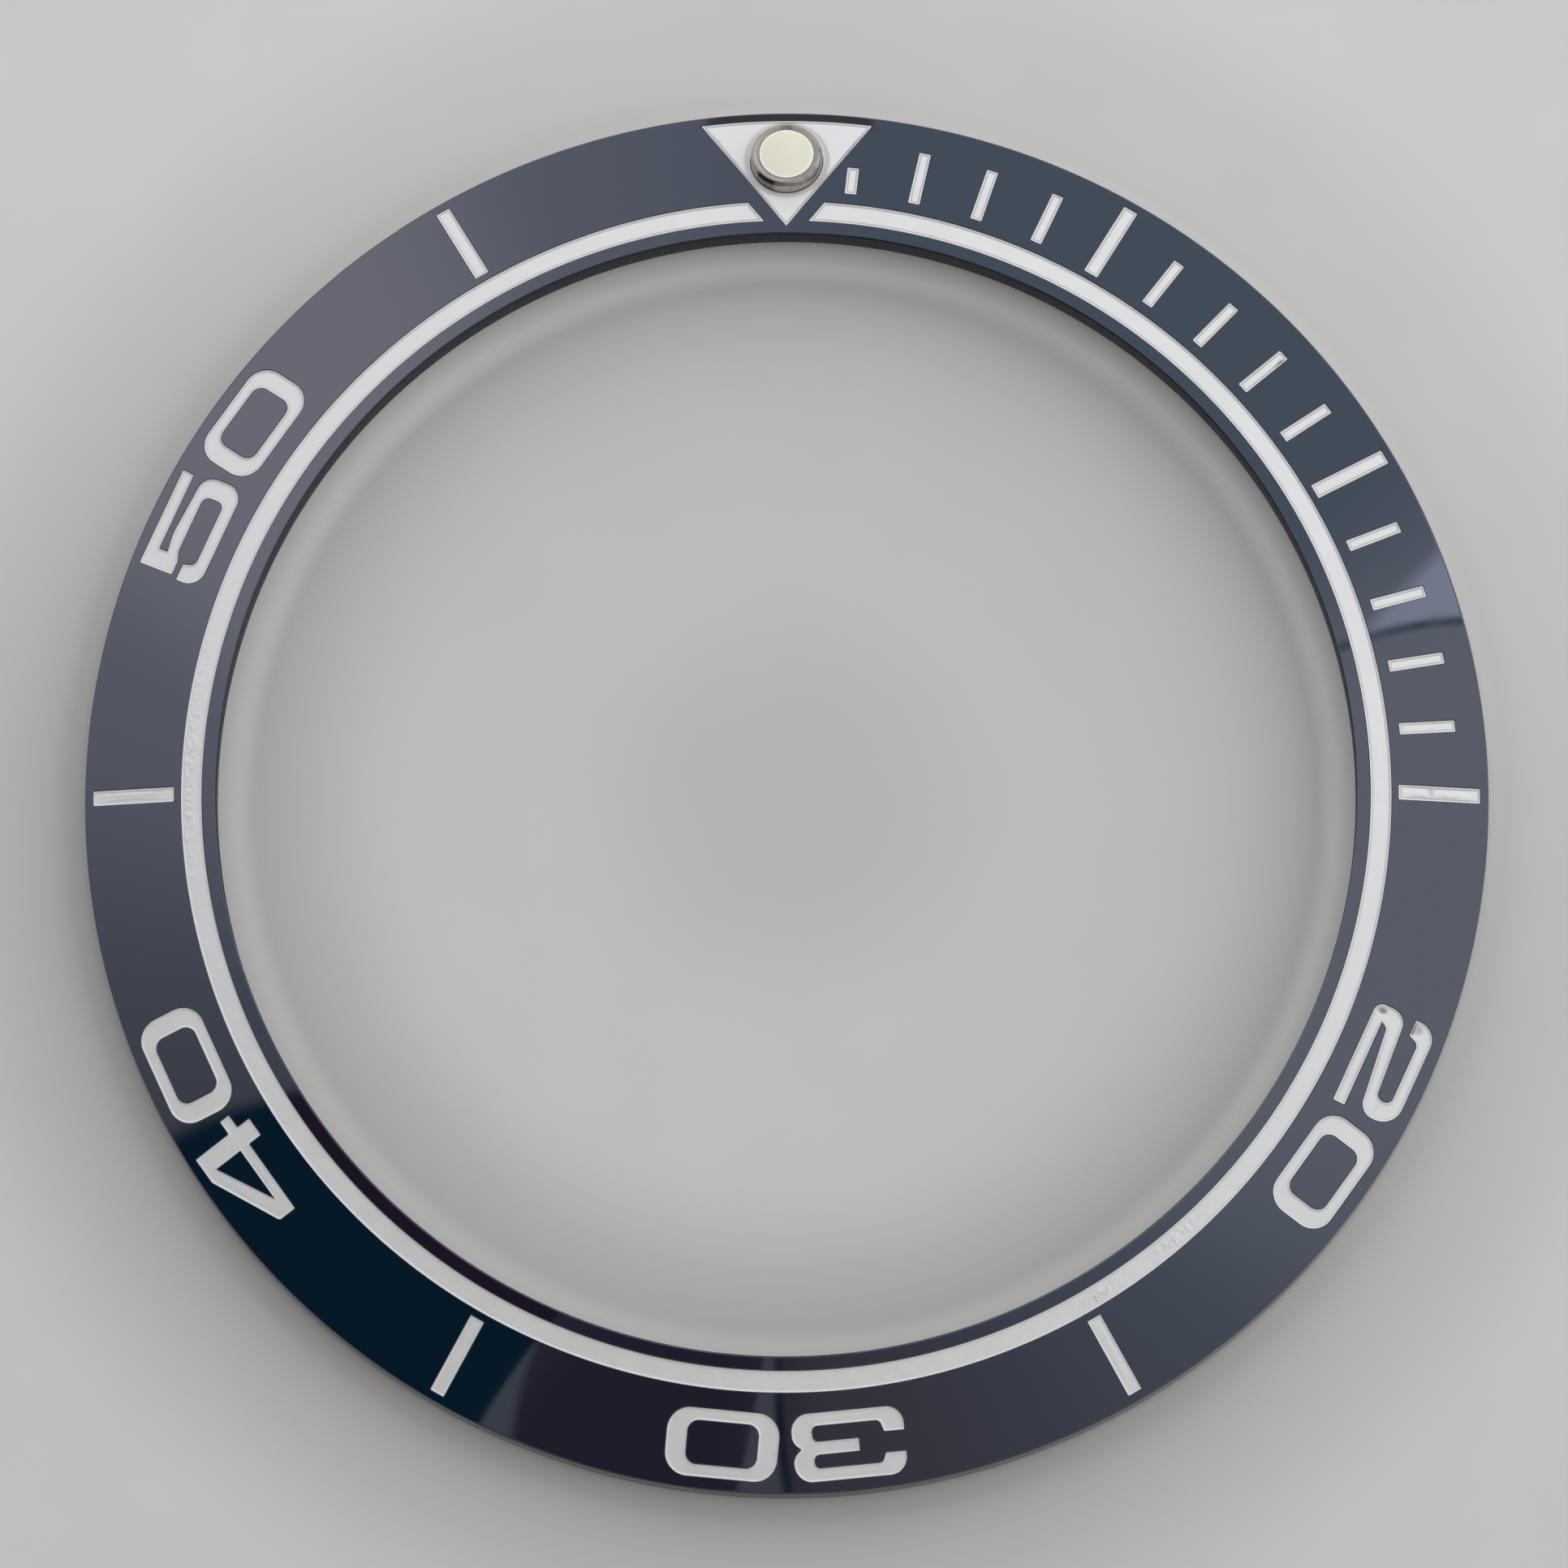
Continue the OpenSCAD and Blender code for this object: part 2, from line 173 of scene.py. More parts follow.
# The middle of the board is darker, as painted shade
shaded_middle_tone, inner_tone = (0.51, 0.505, 0.49, 1.0), (0.57, 0.565, 0.55, 1.0)
shaded_board = nodes.mix(nodes.between(from_middle, 0.002, 0.007), shaded_middle_tone, inner_tone)
for band, shaded_tone, lit_tone in painted_floor_shading:
    tones = [(tone, 0.99 * tone, 0.97 * tone, 1.0) for tone in (shaded_tone, lit_tone)]
    shaded_board = nodes.mix(band, shaded_board, nodes.mix(painted_light_towards_one, *tones))
mottle = nodes.math("MULTIPLY", nodes.noise(nodes.place(), 300.0, 3.0), 0.12)
nodes.put(shader.inputs["Base Color"], nodes.mix(mottle, shaded_board, (0.35, 0.345, 0.335, 1.0)))
floor_mesh = bpy.data.meshes.new("floor")
floor_mesh.from_pydata(
    [(-floor_edge, -floor_edge, 0), (floor_edge, -floor_edge, 0),
     (floor_edge, floor_edge, 0), (-floor_edge, floor_edge, 0)],
    [], [(0, 1, 2, 3)],
)
floor_mesh.materials.append(floor_stuff)
floor = bpy.data.objects.new("floor", floor_mesh)
bpy.context.scene.collection.objects.link(floor)

# Light. The room is lit softly from all round, a little more from beyond twelve o'clock. The
# polished parts also mirror what stands in it: a glow at half past ten, a window at two, a pale
# panel at half past two, a dim wall at seven, a black doorway at eight, and a beam over twelve.
world = bpy.data.worlds.new("studio")
bpy.context.scene.world = world
world.use_nodes = True
nodes = Nodes(world.node_tree)
direction = world.node_tree.nodes.new("ShaderNodeTexCoord").outputs["Generated"]
height = nodes.add("SeparateXYZ", direction).node.outputs["Z"]
level = nodes.add("VectorMath", direction, (1.0, 1.0, 0.0), operation="MULTIPLY")
level = nodes.add("VectorMath", level, operation="NORMALIZE")


def along(vector, azimuth):
    """A vector's part along a compass azimuth, which runs clockwise from twelve o'clock."""
    a = math.radians(azimuth)
    way = (math.sin(a), math.cos(a), 0.0)
    return nodes.add("VectorMath", vector, way, operation="DOT_PRODUCT").node.outputs["Value"]


def lobe(azimuth, full, none):
    """1 within some degrees of an azimuth, falling softly to 0 at others."""
    cosines = [math.cos(math.radians(a)) for a in (none, full)]
    return nodes.between(along(level, azimuth), *cosines)


def past(azimuth, lean, at_height, softness):
    """0 before an azimuth and 1 past it. The azimuth grows by lean over a unit of height."""
    turned = nodes.math("MULTIPLY", along(level, azimuth + 90), math.degrees(1))
    turned = nodes.math("SUBTRACT", turned, nodes.math(
        "MULTIPLY", nodes.math("SUBTRACT", height, at_height), lean))
    return nodes.between(turned, -softness / 2, softness / 2)


def slit(start, end, at_height):
    """A wedge between two such edges, each (azimuth, lean, softness), high up in the room."""
    first = past(start[0], start[1], at_height, start[2])
    last = nodes.math("SUBTRACT", 1.0, past(end[0], end[1], at_height, end[2]))
    facing = nodes.between(along(level, (start[0] + end[0]) / 2), 0.7, 0.8)
    facing = nodes.math("MULTIPLY", facing, nodes.between(height, 0.45, 0.6))
    return nodes.math("MULTIPLY", nodes.math("MULTIPLY", first, last), facing)


seen = (0.40, 0.455, 0.57, 1.0)
window_edge = (57.4, -33.5, 0.7)
door_edge = (215.8, 14, 0.6)
doorway = slit(door_edge, (258.4, 25, 2.2), 0.875)
far_side = nodes.between(along(level, 20), -0.3, 0.5, 0.15, 1.0)
room = {
    "panel": (nodes.math("MULTIPLY", lobe(75, 20, 57), past(53.5, 0, 0.8, 18)),
              (0.70, 0.735, 0.87)),
    "glow": (lobe(318, 0, 50), (0.67, 0.687, 0.83)),
    "middle of the glow": (lobe(319, 0, 24), (1.0, 0.97, 1.15)),
    "dim wall": (lobe(204, 0, 86), (0.225, 0.17, 0.19)),
    "dimmest part": (lobe(200, 8, 24), (0.10, 0.045, 0.06)),
    "window's shade": (slit(window_edge, (58.15, -33.5, 0.5), 0.8), (0.27, 0.31, 0.36)),
    "window": (slit((56.6, 14, 2.0), window_edge, 0.8), (1.25, 1.34, 1.76)),
    "dark line at six": (slit((181.6, 25, 0.6), (182.6, 25, 0.6), 0.89), (0.04, 0.04, 0.05)),
    "pale slit at six": (slit((182.8, 25, 0.8), (186.4, -13, 0.8), 0.89), (0.30, 0.28, 0.33)),
    "doorway": (doorway, (0.008, 0.022, 0.034)),
    "lintel": (nodes.math("MULTIPLY", doorway, past(237, -1083, 0.902, 8)),
               (0.075, 0.004, 0.006)),
    "door's pale edge": (slit((213.8, 64, 1.8), door_edge, 0.875), (0.28, 0.31, 0.36)),
    "low wall": (nodes.math("MULTIPLY", nodes.between(height, 0.5, 0.2), far_side),
                 (0.66, 0.67, 0.70)),
    "beam": (nodes.math("MULTIPLY", nodes.between(height, 0.645, 0.635), lobe(-0.8, 4.9, 5.7)),
             (0.25, 0.20, 0.16)),
}
for share, color in room.values():
    seen = nodes.mix(share, seen, (*color, 1.0))
# The soft light falls mostly from azimuth 35, and hardly any comes from the other side
sky = nodes.math("MULTIPLY_ADD", along(direction, 35), 1.0, 0.92)
sky = nodes.math("MAXIMUM", sky, 0.05)
paths = world.node_tree.nodes.new("ShaderNodeLightPath")
mirrored = nodes.math("MAXIMUM", paths.outputs["Is Glossy Ray"],
                      paths.outputs["Is Transmission Ray"])
light = nodes.mix(mirrored, sky, seen)
light = nodes.mix(paths.outputs["Is Camera Ray"], light, (0.62, 0.61, 0.60, 1.0))
output = world.node_tree.nodes.new("ShaderNodeOutputWorld")
world.node_tree.links.new(nodes.add("Background", light, 1.0), output.inputs["Surface"])

# Ceramic ring. One piece of zirconia, pressed, fired and ground, then polished like glass.
# The markings are pockets cut into its sloping face, and the pip's hole goes right through.
bore_r = 15.4
outer_r = 19.0
face_w = outer_r - bore_r
rim_h = 0.85
face_slope = math.radians(16.5)
fall = math.tan(face_slope)
crown = 0.05
land_w = 0.8
edge_r = 0.08
bore_edge_w, bore_edge_h = 0.05, 0.045
foot_bevel = 0.05
pocket_depth = 0.25
pocket_lip = 0.012
cutter_r = 0.04
round_steps = 720


def face_height(r):
    """The polished face, which is very slightly crowned between the bore and the rim."""
    return rim_h + (outer_r - r) * fall + crown * 4 * (outer_r - r) * (r - bore_r) / face_w**2


def face_fall(r):
    """How fast the crowned face falls at a radius."""
    return fall - crown * 4 * (outer_r + bore_r - 2 * r) / face_w**2


def under_height(r):
    """The underside, which runs parallel to the plain face from the land up to the bore."""
    return (outer_r - land_w - r) * fall


def snapped(points):
    """Points on a grid of 10 nanometres, so that the edges of neighbouring patches agree."""
    return np.round(points, 5)


def circle(r, steps=round_steps):
    """A circle's points, counterclockwise from twelve o'clock."""
    a = 2 * np.pi * np.arange(steps) / steps
    return snapped(np.stack([-r * np.sin(a), r * np.cos(a)], 1))


def corner(point, before, after, inset):
    """One corner of an outline, drawn in by an inset and turned into an arc."""
    here, r = np.array(point[:2]), point[2]
    d1 = here - np.array(before[:2])
    d2 = np.array(after[:2]) - here
    d1, d2 = d1 / np.hypot(*d1), d2 / np.hypot(*d2)
    n1, n2 = np.array([-d1[1], d1[0]]), np.array([-d2[1], d2[0]])
    out = inset * (n1 + n2) / (1 + n1 @ n2)
    reach = np.hypot(*out)
    if r == 0 and reach > 2 * abs(inset) > 0:
        out *= 2 * abs(inset) / reach
    a = math.atan2(d1[0] * d2[1] - d1[1] * d2[0], d1 @ d2)
    if r == 0:
        return [here + out]
    side = 1 if a > 0 else -1
    steps = max(2, math.ceil(abs(a) / math.radians(9 if r > 0.1 else 20)))
    r = max(r - side * inset, 0)
    start = here + out - d1 * r * math.tan(abs(a) / 2)
    centre = start + n1 * side * r
    points = []
    for k in range(steps + 1):
        t = a * k / steps
        n = np.array([n1[0] * math.cos(t) - n1[1] * math.sin(t),
                      n1[0] * math.sin(t) + n1[1] * math.cos(t)])
        points.append(centre - side * r * n)
    return points


def outline(corners, inset):
    """An outline from its corners, which are (x, y, radius) and run counterclockwise."""
    n = len(corners)
    points = []
    for k in range(n):
        points += corner(corners[k], corners[k - 1], corners[(k + 1) % n], inset)
    return np.array(points)


def block(x0, y0, x1, y1, r):
    """The corners of a rectangle with one radius."""
    return [(x0, y0, r), (x1, y0, r), (x1, y1, r), (x0, y1, r)]


def at_azimuth(points, azimuth, r=0.0):
    """Moves an outline out to a radius and turns it clockwise from twelve o'clock."""
    a = math.radians(azimuth)
    x, y = points[:, 0], points[:, 1] + r
    c, s = math.cos(a), math.sin(a)
    return snapped(np.stack([x * c + y * s, y * c - x * s], 1))


def inside(points, loops):
    """Which points lie within an odd number of the loops."""
    odd = np.zeros(len(points), bool)
    px, py = points[:, 0], points[:, 1]
    for loop in loops:
        low, high = loop.min(0), loop.max(0)
        near = np.nonzero((px > low[0]) & (px < high[0]) & (py > low[1]) & (py < high[1]))[0]
        x, y = px[near], py[near]
        crossed = np.zeros(len(near), bool)
        for (x0, y0), (x1, y1) in zip(loop, np.roll(loop, -1, 0)):
            if y0 != y1:
                spans = (y0 > y) != (y1 > y)
                crossed ^= spans & (x < (x1 - x0) * (y - y0) / (y1 - y0) + x0)
        odd[near] ^= crossed
    return odd


def sheet(loops, height, more=None, lines=(), up=True):
    """A surface over the area inside the loops. Lines are closed too, and the faces follow them."""
    points, edges = [], []
    for loop in [*loops, *lines]:
        loop = loop[np.abs(loop - np.roll(loop, 1, 0)).max(1) > 1e-6]
        first, count = len(points), len(loop)
        points += loop.tolist()
        edges += [(first + k, first + (k + 1) % count) for k in range(count)]
    if more is not None:
        points += more.tolist()
    cut_up = delaunay_2d_cdt([Vector(p) for p in points], edges, [], 0, 1e-6, True)
    flat, faces, given = cut_up[0], cut_up[2], cut_up[3]
    flat = np.array([points[g[0]] if g else tuple(p) for p, g in zip(flat, given)])
    faces = np.array(faces)
    faces = faces[inside(flat[faces].mean(1), loops)]
    a, b, c = (flat[faces[:, k]] for k in range(3))
    turn = (b - a)[:, 0] * (c - a)[:, 1] - (b - a)[:, 1] * (c - a)[:, 0]
    wrong = (turn < 0) == up
    faces[wrong] = faces[wrong][:, ::-1]
    return lifted(flat, height), faces.tolist()


def strip(upper, lower):
    """A band of faces between two closed lines of points. It faces right, walking along them."""
    n = len(upper)
    faces = [(k, n + k, n + (k + 1) % n, (k + 1) % n) for k in range(n)]
    return np.concatenate([upper, lower]), faces


def strips(rows):
    """Bands between each closed line of points and the next."""
    return [strip(upper, lower) for upper, lower in zip(rows, rows[1:])]


def lifted(points, height):
    """Points of a plan, raised to a height that follows the radius or is the same all over."""
    if callable(height):
        height = height(np.hypot(*points.T))
    return np.column_stack([points, np.broadcast_to(height, len(points))])


def sunk(depth):
    """The height of a surface that lies everywhere this deep below the face."""
    return lambda r: face_height(r) - depth


def solid(name, patches, material, sharp=32.0, normals=None, marks=None, frame_of=None,
          others=(), other_material=None):
    """Joins patches into one closed mesh in metres, on the part's one rigid body.

    normals gives the first patch's normals, and marks gives each of its points a tone. others
    are patches of the other material."""
    index, points, faces = {}, [], []
    firsts = []
    for patch_points, patch_faces in [*patches, *others]:
        to = []
        for p in patch_points:
            key = tuple(round(v * 1e5) for v in p)
            if key not in index:
                index[key] = len(points)
                points.append(p)
            to.append(index[key])
        firsts = firsts or list(to)
        for face in patch_faces:
            face = [to[k] for k in face]
            face = [v for k, v in enumerate(face) if v != face[k - 1]]
            if len(face) > 2:
                faces.append(face)
        if patch_faces is patches[0][1]:
            smooth_faces = len(faces)
        if patch_faces is patches[-1][1]:
            own_faces = len(faces)
    used = np.zeros(len(points), bool)
    used[np.concatenate(faces)] = True
    new = np.cumsum(used) - 1
    tones = np.zeros(len(points), np.float32)
    if marks is not None:
        tones[firsts] = marks
    points = np.array(points)
    mesh = bpy.data.meshes.new(name)
    mesh.from_pydata(
        (points[used] * 0.001).tolist(), [], [[int(new[v]) for v in face] for face in faces]
    )
    mesh.shade_smooth()
    mesh.set_sharp_from_angle(angle=math.radians(sharp))
    if marks is not None:
        mesh.attributes.new("tone", "FLOAT", "POINT").data.foreach_set("value", tones[used])
    if normals is not None:
        corners = np.zeros(len(mesh.loops) * 3, np.float32)
        mesh.corner_normals.foreach_get("vector", corners)
        corners = corners.reshape(-1, 3)
        smooth = np.concatenate(faces[:smooth_faces])
        corners[:len(smooth)] = normals(points[smooth])
        mesh.normals_split_custom_set(corners.tolist())
    mesh.materials.append(material)
    if others:
        mesh.materials.append(other_material)
        second = [int(k >= own_faces) for k in range(len(faces))]
        mesh.polygons.foreach_set("material_index", second)
    made = bpy.data.objects.new(name, mesh)
    bpy.context.scene.collection.objects.link(made)
    if frame_of is not None:
        made.matrix_world = frame_of
    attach(made, "root")
    return made


# The outlines of every marking are settled here, because the ring's pockets are cut to them.
track_in_r = 15.78
track_out_r = 16.36
track_gap = 0.38
marked_r = 18.77
half_tip = math.radians(38)
pip_r = 17.59
cup_r = 0.98
cup_margin = 0.23
tip_r = pip_r - (cup_r + cup_margin) / math.sin(half_tip)
track_steps, back_steps = 700, 40


def wedge_azimuth(r, spread):
    """Where a circle crosses the marker's side, moved out by a spread."""
    foot = tip_r - spread / math.sin(half_tip)
    return half_tip - math.asin(foot * math.sin(half_tip) / r)


def arc(r, a0, a1, steps):
    """Points of an arc about the ring's axis, between two azimuths in radians."""
    a = np.linspace(a0, a1, steps + 1)
    return np.stack([r * np.sin(a), r * np.cos(a)], 1)


def track_loops(inset):
    """The track runs all round, up to a gap on each side of the marker."""
    outer, inner = track_out_r - inset, track_in_r + inset
    a = wedge_azimuth(outer, track_gap + inset)
    b = wedge_azimuth(inner, track_gap + inset)
    return [snapped(np.concatenate([
        arc(outer, 2 * math.pi - a, a, track_steps),
        arc(inner, b, 2 * math.pi - b, track_steps),
    ]))]


def marker_loops(inset):
    """The marker has two straight sides, a point towards the bore and a curved back."""
    a = wedge_azimuth(marked_r - inset, -inset)
    tip = np.array([[0.0, tip_r + inset / math.sin(half_tip)]])
    return [snapped(np.concatenate([tip, arc(marked_r - inset, a, -a, back_steps)]))]


stroke_minutes = [m for m in range(1, 60) if m <= 15 or m % 10 == 5]
long_foot_r = track_out_r + 0.18
stroke_foot_r = track_out_r + 0.3
stroke_l = 1.54
stroke_half, long_stroke_half = 0.165, 0.21
first_top_r = 17.4546


def stroke_loops(minute, inset):
    """A stroke is longer and wider at every fifth minute, and the first is cut short."""
    half, foot, top = stroke_half, stroke_foot_r, stroke_foot_r + stroke_l
    if minute == 1:
        top = first_top_r
    elif minute % 5 == 0:
        half, foot, top = long_stroke_half, long_foot_r, marked_r
    return [at_azimuth(outline(block(-half, foot, half, top, cutter_r), inset), minute * 6)]


# A figure is drawn about its middle, with its top towards the rim. Its stems are upright parts,
# its bars are level ones, and in_x and in_y are the inner edges of those along its outside.
digit_w, digit_h, digit_gap, digit_foot = 3.04, 1.8, 0.37, 0.51
hw, hh = digit_w / 2, digit_h / 2
stem_w, bar_w = 0.56, 0.35
digit_r, hook_r, counter_r, lean = 0.62, 0.48, 0.3, 0.1
in_x, in_y = hw - stem_w, hh - bar_w
digit_mid_r = track_out_r + digit_foot + hh
digit_pitch = 2 * math.degrees(math.asin((digit_w + digit_gap) / 2 / digit_mid_r))

nought = block(-hw, -hh, hw, hh, digit_r)
nought_hole = block(-in_x, -in_y - 0.02, in_x, in_y + 0.02, counter_r)

two_left = -hw + 0.08
two_mid = -0.02 * hh
two_low = two_mid - bar_w - 0.02
two_rise = 0.18 * hh
two_end = 0.33 * hh
two_side = hh - two_low - two_rise - lean
two_slot_r = 0.48 * (in_y - two_mid - two_rise)
two = [
    (two_left, -hh, 0.31 * hh), (hw, -hh, cutter_r), (hw, -in_y, cutter_r),
    (-in_x, -in_y, 0), (-in_x + lean, two_low, lean),
    (hw, two_low + two_rise + lean, 0.4 * two_side), (hw, hh, 0.58 * two_side),
    (two_left, hh, hook_r), (two_left, in_y - two_end, cutter_r),
    (-in_x, in_y - two_end, cutter_r), (-in_x + lean, in_y, two_slot_r),
    (in_x, in_y, two_slot_r), (in_x, two_mid + two_rise, two_slot_r),
    (two_left, two_mid, 0.4 * two_side),
]

three_mid = 0.03 * hh
mouth = 0.3 * hh
tongue = in_x - 1.24
three_slot_r = 0.42 * (in_y - three_mid - bar_w / 2)
three = [
    (-hw, -hh, hook_r), (hw, -hh, hook_r), (hw, three_mid - 0.22 * hh, 0.34),
    (hw - 0.22, three_mid, 0), (hw, three_mid + 0.22 * hh, 0.34), (hw, hh, hook_r),
    (-hw, hh, hook_r), (-hw, three_mid + mouth, cutter_r), (-in_x, three_mid + mouth, cutter_r),
    (-in_x + lean, in_y, three_slot_r), (in_x, in_y, three_slot_r),
    (in_x, three_mid + bar_w / 2, three_slot_r), (tongue, three_mid + bar_w / 2, cutter_r),
    (tongue, three_mid - bar_w / 2, cutter_r), (in_x, three_mid - bar_w / 2, three_slot_r),
    (in_x, -in_y, three_slot_r), (-in_x + lean, -in_y, three_slot_r),
    (-in_x, three_mid - mouth, cutter_r), (-hw, three_mid - mouth, cutter_r),
]

four_low = -0.52 * hh
four_high = four_low + 0.3
four_foot, four_top = 0.04 - hh, 0.04 + hh
four_end = hw + 0.08
four_right = four_end - 0.41
four_left = four_right - stem_w
four = [
    (four_left, four_foot, cutter_r), (four_right, four_foot, cutter_r),
    (four_right, four_low, cutter_r), (four_end, four_low, cutter_r),
    (four_end, four_high, cutter_r), (four_right, four_high, cutter_r),
    (four_right, four_top, cutter_r), (four_left - 0.22, four_top, lean),
    (-hw, four_low + 0.58 * hh, lean), (-hw, four_low, cutter_r), (four_left, four_low, cutter_r),
]
four_hole = [(-hw + 0.55, four_high, 0), (four_left, four_high, 0), (four_left, 0.7 * hh, 0)]

five_stem = -in_x - stem_w + 0.17
five_crest = 0.455 * hh
five_end = -0.065 * hh
five_gap = 0.055 * hh
five_left, five_right = -hw + 0.08, hw + 0.03
five_in, five_top = in_x + 0.03, hh + 0.03
five_hook = five_end - 0.18 * hh
five = [
    (five_left, -hh, hook_r), (five_right, -hh, hook_r),
    (five_right, five_crest - 0.13 * hh, 0.42), (-0.25, five_crest, 1.2),
    (five_stem + stem_w, 0.38 * hh, 0), (five_stem + stem_w, in_y + 0.03, cutter_r),
    (hw - 2 * cutter_r, in_y + 0.03, cutter_r), (hw - cutter_r, five_top, cutter_r),
    (five_stem, five_top, cutter_r), (five_stem, five_end, cutter_r), (-in_x, five_end, lean),
    (-in_x + 3 * lean, five_gap, 0.2), (five_in, five_gap, 0.2), (five_in, -in_y, 0.2),
    (-in_x + lean, -in_y, 0.2), (-in_x, five_hook, cutter_r), (five_left, five_hook, cutter_r),
]
figures = {0: [nought, nought_hole], 2: [two], 3: [three], 4: [four, four_hole], 5: [five]}


def figure_loops(tens, digit, side, inset):
    """A figure stands before or after its numeral's azimuth, which is 60 degrees for each ten."""
    azimuth = tens * 60 + side * digit_pitch / 2
    rim, *holes = figures[digit]
    loops = [outline(rim, inset)] + [outline(hole, -inset) for hole in holes]
    return [at_azimuth(loop, azimuth, digit_mid_r) for loop in loops]


markings = {"minute_track": track_loops, "marker_triangle": marker_loops}
for m in stroke_minutes:
    markings[f"stroke_{m:02d}"] = lambda inset, m=m: stroke_loops(m, inset)
for tens in range(2, 6):
    for digit, side in ((tens, -1), (0, 1)):
        markings[f"numeral_{tens}0_figure_{digit}"] = (
            lambda inset, figure=(tens, digit, side): figure_loops(*figure, inset))

# The pip stands square to the face. The face's height there is the plain cone's.
pip_tilt = face_slope
pip_z = rim_h + (outer_r - pip_r) * fall
pip_frame = np.array([
    [1, 0, 0],
    [0, math.cos(pip_tilt), math.sin(pip_tilt)],
    [0, -math.sin(pip_tilt), math.cos(pip_tilt)],
])


def on_pip(points):
    """From the pip's own axes, with z = 0 on the face, to the part's."""
    return np.asarray(points) @ pip_frame.T + [0, pip_r, pip_z]


def pip_circle(r, height, steps=96):
    """A circle about the pip's axis, slid along it to meet a surface."""
    flat = circle(r, steps)
    z = np.zeros(steps)
    for _ in range(12):
        at = on_pip(np.column_stack([flat, z]))
        z += (height(np.hypot(at[:, 0], at[:, 1])) - at[:, 2]) / math.cos(pip_tilt)
    return lifted(snapped(on_pip(np.column_stack([flat, z]))[:, :2]), height)


shank_hole_r = 0.59
hole_top = pip_circle(shank_hole_r, sunk(pocket_depth))
hole_foot = pip_circle(shank_hole_r, under_height)

# The rounded outer edge starts where it is square to the crowned face
edge_x, edge_start = outer_r - edge_r, outer_r
for _ in range(6):
    lean_out = math.atan(face_fall(edge_start))
    edge_start = edge_x + edge_r * math.sin(lean_out)
edge_z = face_height(edge_start) - edge_r * math.cos(lean_out)
edge_angles = np.linspace(math.pi / 2 - lean_out, 0, 9)
bore_start = bore_r + bore_edge_w
bore_top = face_height(bore_start)
face_rows = np.linspace(bore_start, edge_start, 14)[1:-1]
outer_rows = [(edge_x + edge_r * math.cos(a), edge_z + edge_r * math.sin(a)) for a in edge_angles]
bore_rows = [
    (bore_start - bore_edge_w * math.sin(a), bore_top - bore_edge_h * (1 - math.cos(a)))
    for a in np.radians([0, 22.5, 45, 67.5, 90])
]
row_points = np.concatenate([circle(r) for r in face_rows])
cut = {name: loops(-pocket_lip) for name, loops in markings.items()}
top_loops = [circle(edge_start), circle(bore_start), *sum(cut.values(), [])]
patches = [sheet(top_loops, face_height, row_points)]
for name, loops in markings.items():
    for number, (lip_loop, wall_loop) in enumerate(zip(cut[name], loops(0))):
        rows = [lifted(lip_loop, face_height), lifted(wall_loop, sunk(pocket_lip)),
                lifted(wall_loop, sunk(pocket_depth))]
        if number == 0:
            rows.reverse()
        patches += strips(rows)
    floor_loops = loops(0) + ([hole_top[:, :2]] if name == "marker_triangle" else [])
    patches.append(sheet(floor_loops, sunk(pocket_depth)))
outer_wall = [(outer_r, foot_bevel), (outer_r - foot_bevel, 0), (outer_r - land_w, 0)]
patches += strips([lifted(circle(r), z) for r, z in outer_rows + outer_wall[:1]])
patches += strips([lifted(circle(r), z) for r, z in bore_rows[2::-1]])
bore_wall = [(bore_r, under_height(bore_r)), *bore_rows[:1:-1]]
sides = []
for rows in (outer_wall, bore_wall):
    sides += strips([lifted(circle(r), z) for r, z in rows])
sides.append(strip(hole_foot, hole_top))
under_rows = np.linspace(bore_r, outer_r - land_w, 6)[1:-1]
under_points = np.concatenate([circle(r) for r in under_rows])
sides.append(sheet(
    [circle(outer_r - land_w), circle(bore_r), hole_foot[:, :2]],
    under_height, under_points, up=False,
))


def face_normals(points):
    """The crowned face's own normals, so that it mirrors like one smooth surface."""
    r = np.hypot(points[:, 0], points[:, 1])
    tilt = (face_fall(r) / r)[:, None]
    n = np.column_stack([points[:, :2] * tilt, np.ones(len(points))])
    return n / np.linalg.norm(n, axis=1)[:, None]


ceramic, nodes, shader = principled("polished_ceramic", IOR=2.15)
haze = nodes.noise(nodes.place(), 900.0, 4.0, 0.6)
nodes.put(
    shader.inputs["Base Color"],
    nodes.mix(haze, (0.0010, 0.0085, 0.021, 1.0), (0.0016, 0.0105, 0.025, 1.0)),
)
nodes.put(shader.inputs["Roughness"], nodes.between(haze, 0.3, 0.7, 0.02, 0.04))

# The wall of the bore, the underside and the pip's hole are left as ground, so they are dull
ground, nodes, shader = principled("ground_ceramic", IOR=1.25)
flecks = nodes.noise(nodes.place(), 12000.0, 3.0)
nodes.put(
    shader.inputs["Base Color"],
    nodes.mix(flecks, (0.004, 0.006, 0.016, 1.0), (0.009, 0.012, 0.026, 1.0)),
)
nodes.put(shader.inputs["Roughness"], nodes.between(flecks, 0.3, 0.7, 0.4, 0.55))
nodes.put(shader.inputs["Normal"], nodes.bump(flecks, 0.3, 0.00001))
ring = solid(
    "ceramic_ring", patches, ceramic, normals=face_normals, others=sides, other_material=ground
)
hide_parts("insert_ring")

# Minute track. White lacquer is run into the pocket and cured, and it shrinks as it dries. It
# clings to the pocket's wall and sinks away from it. A fine dark line of painted shade, as a crease
# would show, follows every edge.
fill_gap = 0.01
fill_floor = pocket_depth - fill_gap
climb_w = 0.085
climb_h = 0.03
fill_sink = 0.04
